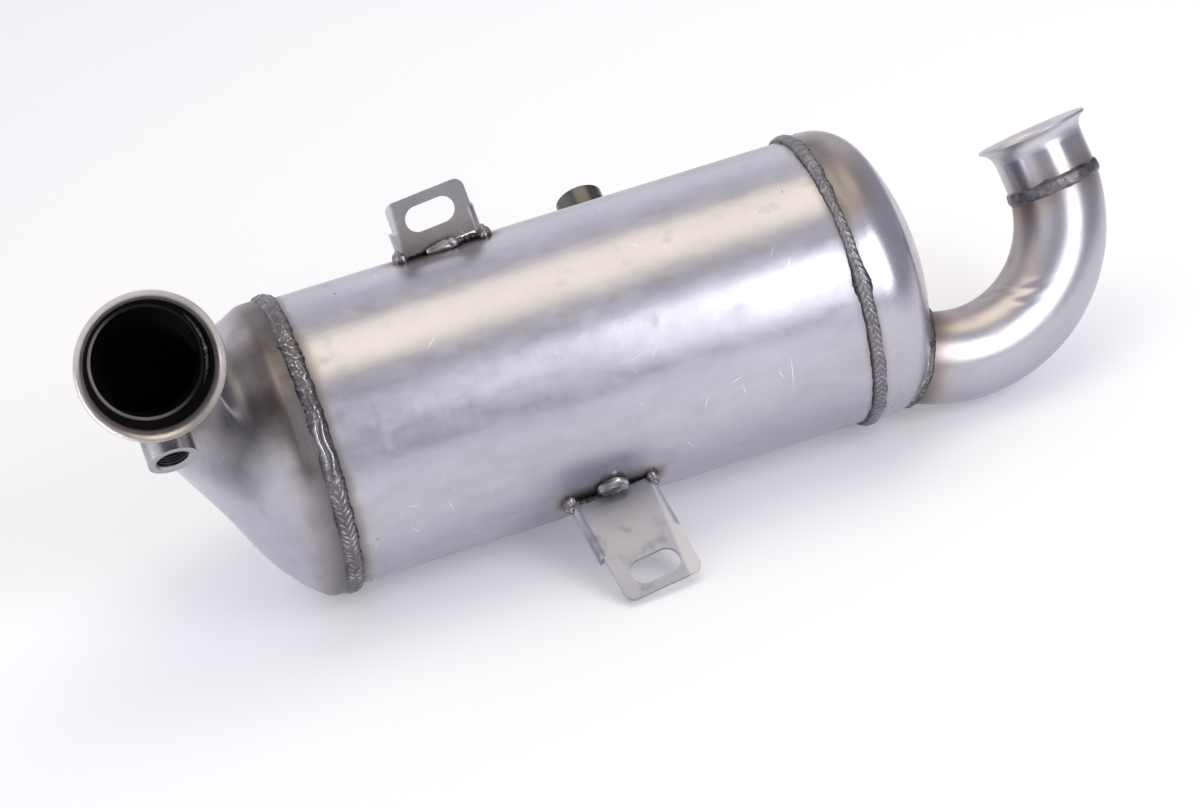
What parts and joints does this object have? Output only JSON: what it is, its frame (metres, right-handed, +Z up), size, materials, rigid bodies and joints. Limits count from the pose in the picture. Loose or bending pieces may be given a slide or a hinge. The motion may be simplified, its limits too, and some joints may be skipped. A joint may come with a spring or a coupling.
{
  "type": "diesel particulate filter",
  "caption": "Stainless exhaust canister with a pressed side inlet horn, domed outlet end with a bent pipe, belled collars, sensor bosses, slotted brackets and a segmented ceramic filter inside",
  "frame": {"origin": "middle of the inlet pipe's open rim, on the inlet axis", "axes": "+X along the canister from the inlet end to the outlet end, +Z up as the part lies in the picture, -Y toward the side that the inlet opens to"},
  "size_m": [0.5597, 0.2057, 0.2264],
  "materials": {
    "stainless_sheet": "satin",
    "turned_steel": "satin",
    "weld_metal": "rough",
    "ring_steel": "satin",
    "knitted_wire": "matte",
    "silicon_carbide": "matte",
    "ceramic_cement": "matte",
    "fibre_mat": "matte"
  },
  "bodies": {
    "root": {"filter_shell": "stainless_sheet", "inlet_cone": "stainless_sheet", "inlet_pipe": "stainless_sheet", "inlet_flare": "stainless_sheet", "inlet_flare_weld": "weld_metal", "inlet_neck_weld": "weld_metal", "inlet_sensor_boss": "turned_steel", "inlet_boss_weld": "weld_metal", "outlet_dome": "stainless_sheet", "outlet_elbow": "stainless_sheet", "elbow_weld": "weld_metal", "outlet_flare": "stainless_sheet", "outlet_flare_weld": "weld_metal", "inlet_seam_weld": "weld_metal", "outlet_seam_weld": "weld_metal", "shell_sensor_boss": "turned_steel", "shell_boss_weld": "weld_metal", "upper_bracket": "stainless_sheet", "upper_bracket_welds": "weld_metal", "lower_bracket": "stainless_sheet", "lower_bracket_welds": "weld_metal", "filter_segments": "silicon_carbide", "segment_cement": "ceramic_cement", "support_mat": "fibre_mat", "inlet_mat_seal": "knitted_wire", "outlet_mat_seal": "knitted_wire", "inlet_retaining_ring": "ring_steel", "outlet_retaining_ring": "ring_steel"}
  },
  "joints": []
}
